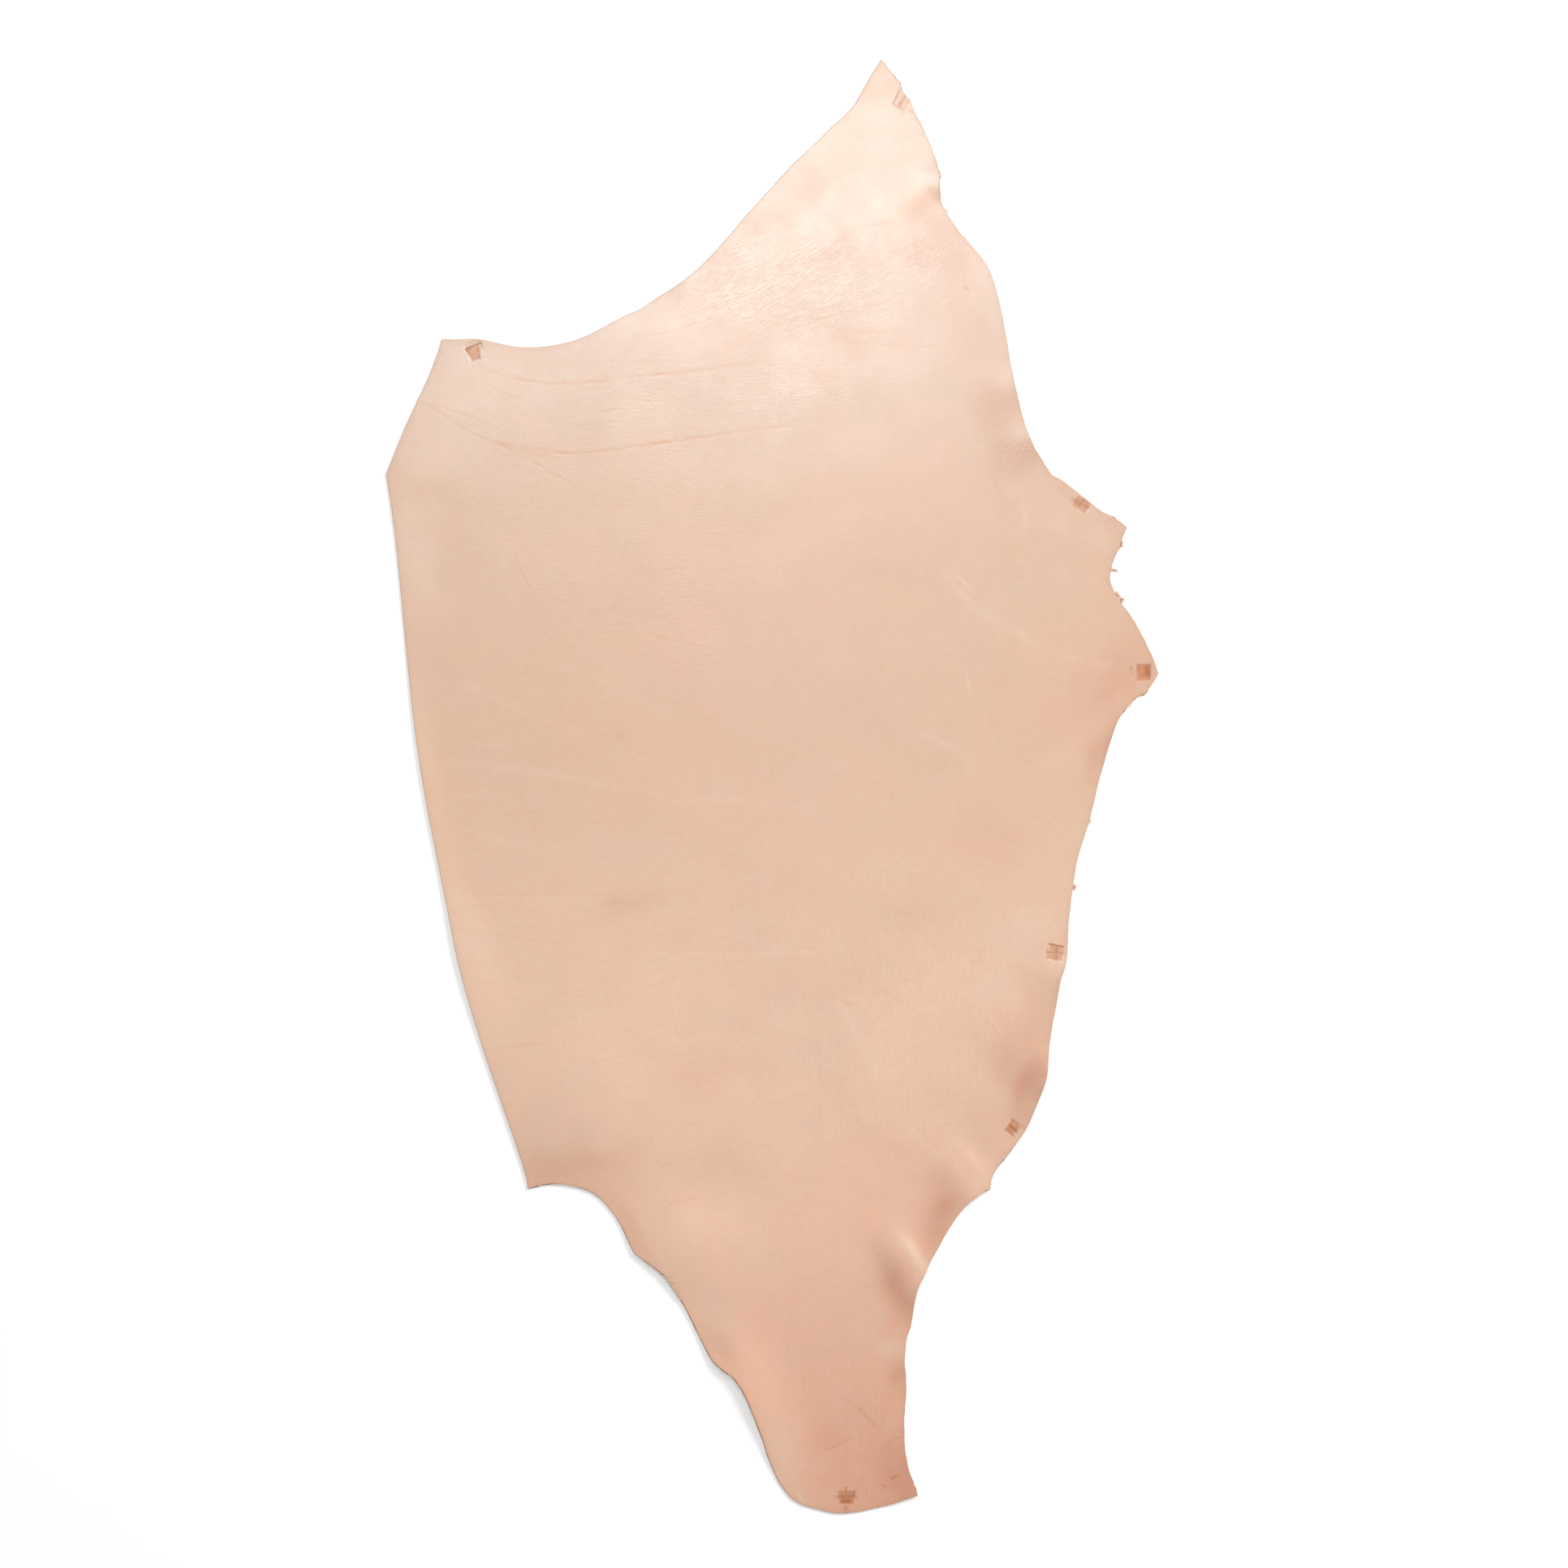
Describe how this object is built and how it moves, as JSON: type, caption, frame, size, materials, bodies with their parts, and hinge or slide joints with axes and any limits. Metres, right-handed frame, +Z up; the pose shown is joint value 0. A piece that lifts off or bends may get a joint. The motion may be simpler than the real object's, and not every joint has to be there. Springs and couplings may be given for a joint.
{
  "type": "leather shoulder",
  "caption": "Whole vegetable-tanned hide shoulder laid flat, grain side up, with a straight back cut, two tapering shanks and gently curled edges.",
  "frame": {"origin": "middle of the sheet's bounding box in plan, on the surface that its flesh side rests on", "axes": "+Y the long way, towards the pointed upper shank; +X towards the neck edge, away from the straight back cut; +Z up, out of the grain side"},
  "size_m": [0.904, 1.702, 0.0141],
  "materials": {
    "leather": "natural undyed grain, smooth and softly satin"
  },
  "bodies": {
    "root": {"leather_shoulder": "leather"}
  },
  "joints": []
}
